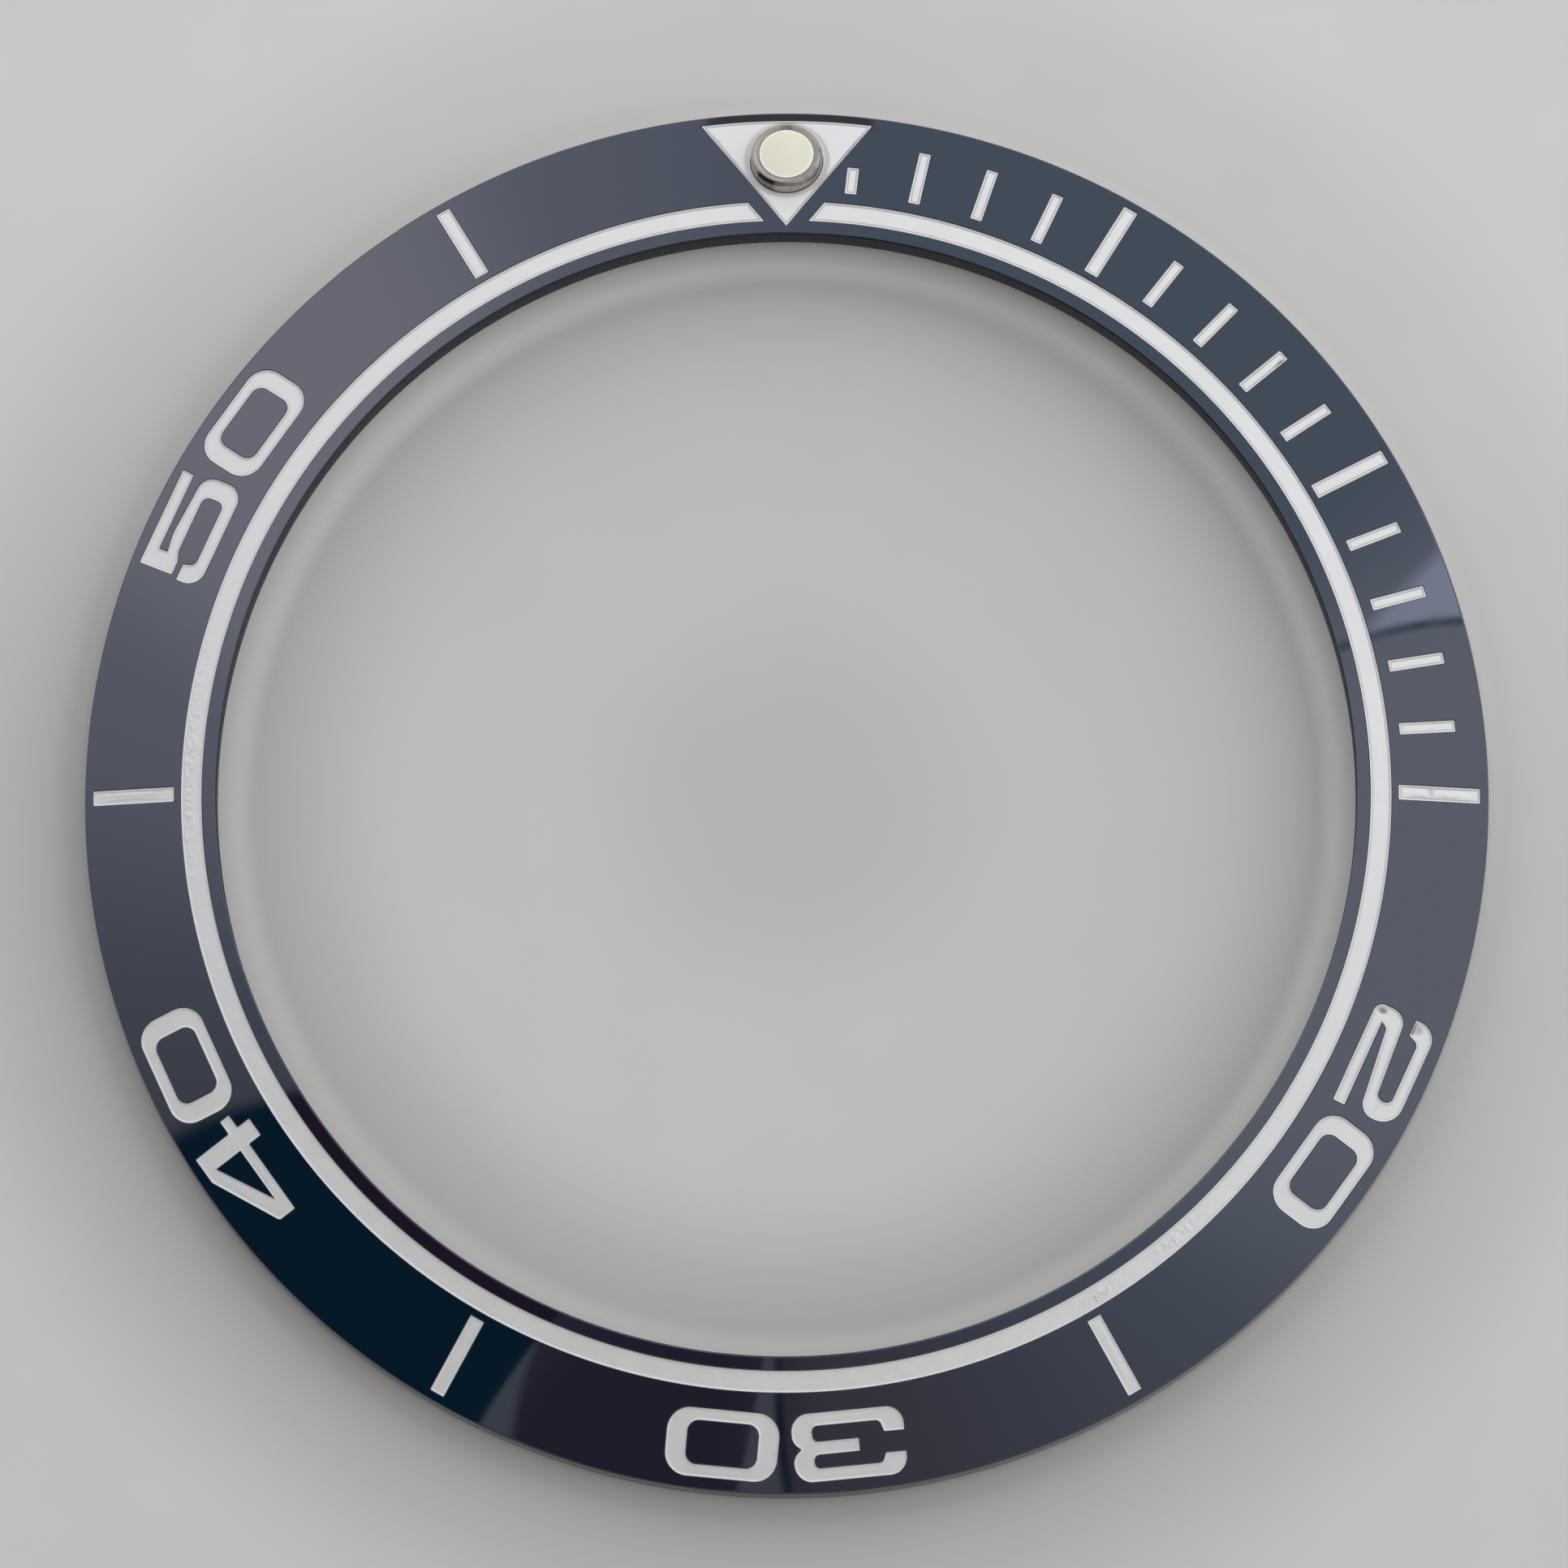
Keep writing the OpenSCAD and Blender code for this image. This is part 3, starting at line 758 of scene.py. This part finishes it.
# Where the painted crease shade lies, how wide it is and how dark it is
crease_at, crease_w, crease_shade = 0.062, 0.026, 0.75
crease_rows = (0.024, 0.044, crease_at, 0.078, 0.094)
plain_margin, shaped_margin = 0.12, 0.04
ripple_size, ripple_h = 0.25, 0.004
least_sink, least_thickness = 0.004, 0.02

lacquer, nodes, shader = principled("white_lacquer", IOR=1.9)
tone = lacquer.node_tree.nodes.new("ShaderNodeAttribute")
tone.attribute_name = "tone"
cloud = nodes.noise(nodes.place(), 1500.0, 3.0)
white = nodes.mix(cloud, (0.675, 0.675, 0.68, 1.0), (0.725, 0.725, 0.73, 1.0))
# The tone attribute turns the white grey: painted shade in the creases, the sunk flaws and the
# pressed ring, and darker flecks on the track
nodes.put(
    shader.inputs["Base Color"],
    nodes.mix(tone.outputs["Fac"], white, (0.16, 0.165, 0.175, 1.0)),
)
nodes.put(shader.inputs["Roughness"], nodes.between(cloud, 0.3, 0.7, 0.28, 0.4))
grain = nodes.noise(nodes.place(), 9000.0, 2.0)
nodes.put(shader.inputs["Normal"], nodes.bump(grain, 0.25, 0.00001))


def edge_distance(points, loops):
    """How far each point is from the nearest of the loops."""
    nearest = np.full(len(points), np.inf)
    for loop in loops:
        for a, b in zip(loop, np.roll(loop, -1, 0)):
            d = b - a
            length = d @ d
            if length:
                t = np.clip(((points - a) @ d) / length, 0, 1)
                nearest = np.minimum(nearest, ((points - a - t[:, None] * d) ** 2).sum(1))
    return np.sqrt(nearest)


def scattered(loops, spacing):
    """A regular spread of points inside the loops, so that their surface can be uneven."""
    low = np.min([loop.min(0) for loop in loops], 0)
    high = np.max([loop.max(0) for loop in loops], 0)
    x, y = np.meshgrid(np.arange(low[0], high[0], spacing), np.arange(low[1], high[1], spacing))
    x[::2] += spacing / 2
    points = snapped(np.column_stack([x.ravel(), y.ravel()]))
    return points[inside(points, loops)]


def border(faces):
    """The closed lines of points round a patch, with the patch on their left."""
    sides = {(a, b) for face in faces for a, b in zip(face, face[1:] + face[:1])}
    after = {a: b for a, b in sides if (b, a) not in sides}
    lines = []
    while after:
        a = next(iter(after))
        line = []
        while a in after:
            line.append(a)
            a = after.pop(a)
        lines.append(line)
    return lines


def uneven(points, size, height):
    """Smooth random heights with features of a given size."""
    return height * np.array([noise.noise(Vector((x / size, y / size, 0.5))) for x, y in points])


def fill(name, loops, spacing, shape=None, lines=(), cut_out=()):
    """One fill: a top that climbs to the wall, plain walls and a bottom.

    shape takes points and gives how much lower they lie, and how dark they are."""
    bounds = loops(fill_gap) + list(cut_out)
    rows = [loop for inset in crease_rows for loop in loops(inset)]
    more = scattered(loops(plain_margin if shape is None else shaped_margin), spacing)
    top, faces = sheet(bounds, 0.0, more, [*rows, *lines])
    plan = top[:, :2]
    d = edge_distance(plan, loops(0))
    climb = np.clip(1 - d / climb_w, 0, 1)
    depth = fill_sink - climb_h * climb**2 + uneven(plan, ripple_size, ripple_h)
    # The painted crease shade follows the light: clear towards one o'clock, fading on the other
    # side
    azimuth = np.arctan2(plan[:, 0], plan[:, 1])
    clear = np.clip(0.5 + 0.6 * np.cos(azimuth - math.radians(30)), 0, 1)
    marks = np.clip(1 - np.abs(d - crease_at) / crease_w, 0, 1) * crease_shade * clear
    if shape is not None:
        more_depth, dark = shape(plan)
        depth, marks = depth + more_depth, np.maximum(marks, dark)
    depth = np.clip(depth, least_sink, fill_floor - least_thickness)
    top[:, 2] = face_height(np.hypot(*plan.T)) - depth
    patches = [(top, faces)]
    rims = border(faces)
    for rim in rims:
        patches.append(strip(top[rim], lifted(plan[rim], sunk(fill_floor))))
    patches.append(sheet([plan[rim] for rim in rims], sunk(fill_floor), up=False))
    made = solid(name, patches, lacquer, sharp=50.0, marks=marks)
    return made


def rough_track(points):
    """The track is grainy along its outer edge near nine o'clock, and in two spots near five."""
    azimuth = np.degrees(np.arctan2(points[:, 0], points[:, 1])) % 360
    r = np.hypot(*points.T)
    grainy = np.zeros(len(points))
    speck_size, speck_h, fleck_dark, grainy_w = 0.06, 0.06, 0.6, 0.13
    for middle, spread, middle_r in ((272, 10, 16.18), (148.3, 3, 16.1), (139, 3, 16.05)):
        off = ((azimuth - middle) / spread) ** 2 + ((r - middle_r) / grainy_w) ** 2
        grainy = np.maximum(grainy, np.exp(-off))
    specks = uneven(points, speck_size, 1.0)
    # Where the specks fall low, the lacquer is only painted darker in flecks; nothing is cut there
    flecks = np.clip(-specks - 0.1, 0, 1)
    return -grainy * np.clip(specks, 0, 1) * speck_h, grainy * flecks * fleck_dark


track = fill("track_fill", track_loops, 0.055, rough_track)
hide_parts("minute_track")

# Marker. A white triangle of the same lacquer points to the bore. The pip was set while it was
# soft, so a shallow ring is pressed into it round the cup, and that ring is painted darker as
# shade.
recess_r = 1.18
recess_depth = 0.06
recess_slope = 0.1
recess_shade = 0.11
cup_hole = pip_circle(cup_r + 0.02, sunk(fill_sink + recess_depth))[:, :2]
recess_lines = [
    pip_circle(r, sunk(fill_sink))[:, :2]
    for r in (recess_r - recess_slope, recess_r, recess_r + 0.02)
]


def pip_distance(points):
    """How far points of the plan are from the pip's axis, measured square to it."""
    across, outwards, up = (lifted(points, face_height) - [0, pip_r, pip_z]).T
    return np.hypot(across, outwards * math.cos(pip_tilt) - up * math.sin(pip_tilt))


def pressed(points):
    """How deep the ring round the cup is pressed in, and how much painted shade darkens it."""
    deep = np.clip((recess_r - pip_distance(points)) / recess_slope, 0, 1)
    return deep * recess_depth, deep * recess_shade


marker = fill("marker_fill", marker_loops, 0.08, pressed, recess_lines, [cup_hole])
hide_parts("marker_triangle")

# Pip cup. A small steel cup, turned on a lathe, with a rounded shoulder and a shank that is
# glued into the ring's hole. Turning has left fine rings on it, and its shoulder has a dark streak.
cup_rise = 0.36
shoulder_r = 0.18
lip_r = cup_r - shoulder_r
lip_bevel = 0.012
lume_r = lip_r - 0.05
lume_h = 0.3
shank_r = cup_r - 0.41
seat_depth = pocket_depth * math.cos(pip_tilt) - fill_gap
shank_end = (pip_z - under_height(pip_r)) * math.cos(pip_tilt) - 0.06
pip_place = Matrix.Translation((0, pip_r * 0.001, pip_z * 0.001))
pip_place @= Matrix.Rotation(-pip_tilt, 4, "X")


def lathe(rows, steps=160):
    """Patches that turn a line of (radius, height) points, from the top down, about the axis."""
    patches = []
    for (r0, z0), (r1, z1) in zip(rows, rows[1:]):
        if r0 == 0 or r1 == 0:
            rim = lifted(circle(max(r0, r1), steps), z1 if r0 == 0 else z0)
            points = np.concatenate([rim, [[0, 0, z0 if r0 == 0 else z1]]])
            faces = [(k, (k + 1) % steps, steps) if r0 == 0 else ((k + 1) % steps, k, steps)
                     for k in range(steps)]
            patches.append((points, faces))
        else:
            patches.append(strip(lifted(circle(r0, steps), z0), lifted(circle(r1, steps), z1)))
    return patches


cup_floor = cup_rise - lume_h - fill_gap
shoulder = [
    (lip_r + shoulder_r * math.sin(a), cup_rise - shoulder_r + shoulder_r * math.cos(a))
    for a in np.radians(np.linspace(0, 90, 13))
]
cup_rows = [
    (0, cup_floor), (lume_r, cup_floor), (lume_r, cup_rise - lip_bevel),
    (lume_r + lip_bevel, cup_rise), *shoulder, (cup_r, -seat_depth), (shank_r, -seat_depth),
    (shank_r, -shank_end), (0, -shank_end),
]

steel, nodes, shader = principled("turned_steel", Metallic=1.0)
place = nodes.add("SeparateXYZ", nodes.place()).node
x, y, z = (place.outputs[k] for k in "XYZ")
squares = [nodes.math("MULTIPLY", way, way) for way in (x, y)]
from_axis = nodes.math("SQRT", nodes.math("ADD", *squares))
ring_fineness, ring_wander = 25000.0, 1.6
turning = nodes.add(
    "CombineXYZ",
    nodes.math("MULTIPLY", from_axis, ring_fineness),
    nodes.math("MULTIPLY", z, ring_fineness),
    nodes.math("MULTIPLY", nodes.math("ARCTAN2", y, x), ring_wander),
)
lines = nodes.noise(turning, 1.0, 3.0, 0.6)
stain = nodes.noise(nodes.place(), 1800.0, 3.0)
base = nodes.mix(lines, (0.36, 0.315, 0.27, 1.0), (0.74, 0.68, 0.60, 1.0))
base = nodes.mix(nodes.between(stain, 0.55, 0.75), base, (0.30, 0.255, 0.215, 1.0))
# A dark streak along the shoulder, on one side
streak_r, streak_turn = 0.00094, math.radians(232.5)
off_streak = nodes.math("ABSOLUTE", nodes.math("SUBTRACT", from_axis, streak_r))
way = nodes.add("CombineXYZ", math.cos(streak_turn), math.sin(streak_turn), 0.0)
facing = nodes.add("VectorMath", nodes.place(), way, operation="DOT_PRODUCT").node.outputs["Value"]
facing = nodes.between(nodes.math("DIVIDE", facing, from_axis), 0.93, 0.98)
dark_streak = nodes.math("MULTIPLY", nodes.between(off_streak, 0.00007, 0.00001), facing)
nodes.put(shader.inputs["Base Color"], nodes.mix(dark_streak, base, (0.05, 0.038, 0.033, 1.0)))
nodes.put(shader.inputs["Roughness"], nodes.between(lines, 0.3, 0.7, 0.26, 0.42))
nodes.put(shader.inputs["Normal"], nodes.bump(lines, 0.35, 0.000006))
cup = solid("cup", lathe(cup_rows), steel, frame_of=pip_place)
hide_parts("pip_cup")

# Luminous filling. A cream paste of glowing grains fills the cup and sets with a low crown.
drop_r = lume_r - fill_gap
lume_crown = 0.04
crown_rows = [
    (drop_r * t, cup_rise + lume_crown * (1 - t**2))
    for t in (0.15, 0.3, 0.45, 0.6, 0.75, 0.87, 0.95, 1.0)
]
lume_foot = cup_rise - lume_h
lume_rows = [(0, cup_rise + lume_crown), *crown_rows, (drop_r, lume_foot), (0, lume_foot)]
paste, nodes, shader = principled("luminous_paste")
grains = nodes.noise(nodes.place(), 14000.0, 3.0)
clouds = nodes.noise(nodes.place(), 1600.0, 2.0)
cream = nodes.mix(clouds, (0.66, 0.65, 0.53, 1.0), (0.72, 0.70, 0.60, 1.0))
place = nodes.add("VectorMath", nodes.place(), (1.0, 1.0, 0.0), operation="MULTIPLY")
from_axis = nodes.add("VectorMath", place, operation="LENGTH").node.outputs["Value"]
rim = nodes.between(from_axis, 0.00066, 0.00073)
nodes.put(shader.inputs["Base Color"], nodes.mix(rim, cream, (0.78, 0.82, 0.70, 1.0)))
nodes.put(shader.inputs["Roughness"], nodes.between(grains, 0.3, 0.7, 0.45, 0.65))
nodes.put(shader.inputs["Normal"], nodes.bump(grains, 0.3, 0.00001))
lume = solid("lume", lathe(lume_rows), paste, frame_of=pip_place)
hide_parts("pip_lume")

# Minute strokes. Each is a pocket of its own, filled with the same white lacquer as the track.
# The lacquer has dried a little unevenly in three of them, and its dips are painted darker as
# shade.
def spots(*flaws):
    """Flaws of a fill, as (azimuth, radius, half width, half length outwards, depth, painted
    shade).
    """

    def shape(points):
        azimuth = np.degrees(np.arctan2(points[:, 0], points[:, 1])) % 360
        r = np.hypot(*points.T)
        depth, dark = np.zeros(len(points)), np.zeros(len(points))
        for a, flaw_r, across, outwards, deep, tone in flaws:
            x = np.radians(azimuth - a) * flaw_r / across
            here = np.exp(-(x**2 + ((r - flaw_r) / outwards) ** 2) ** 2)
            depth += deep * here
            dark = np.maximum(dark, tone * here)
        return depth, dark

    return shape


stroke_flaws = {
    8: spots((48.3, 17.96, 0.07, 0.09, 0.03, 0.4)),
    15: spots(
        (90.0, 17.42, 0.16, 0.07, 0.02, 0.3),
        (90.05, 18.03, 0.09, 0.5, -0.016, 0), (90.05, 16.94, 0.09, 0.3, -0.016, 0),
    ),
    45: spots((270.2, 17.7, 0.06, 0.7, -0.014, 0), (269.6, 17.7, 0.05, 0.6, 0.01, 0.2)),
}
for minute in stroke_minutes:
    name = f"stroke_{minute:02d}"
    flaw = stroke_flaws.get(minute)
    made = fill(f"{name}_fill", markings[name], 0.04 if flaw else 0.07, flaw)
    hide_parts(name)

# Numerals. Each figure is one pocket, filled with the same lacquer. Air was caught in the
# lacquer of one figure, which left pits in its hook and its foot. The pits are painted darker,
# as shade.
pitted = spots(
    (110.8, 18.17, 0.13, 0.17, 0.05, 0.45), (111.0, 18.1, 0.05, 0.07, 0.06, 0.7),
    (110.35, 17.14, 0.08, 0.12, 0.07, 0.8), (118.5, 18.05, 0.16, 0.05, 0.01, 0.12),
)
for tens in range(2, 6):
    for digit in (tens, 0):
        name = f"numeral_{tens}0_figure_{digit}"
        flaw = pitted if digit == 2 else None
        made = fill(f"{name}_fill", markings[name], 0.045 if flaw else 0.07, flaw)
        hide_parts(name)
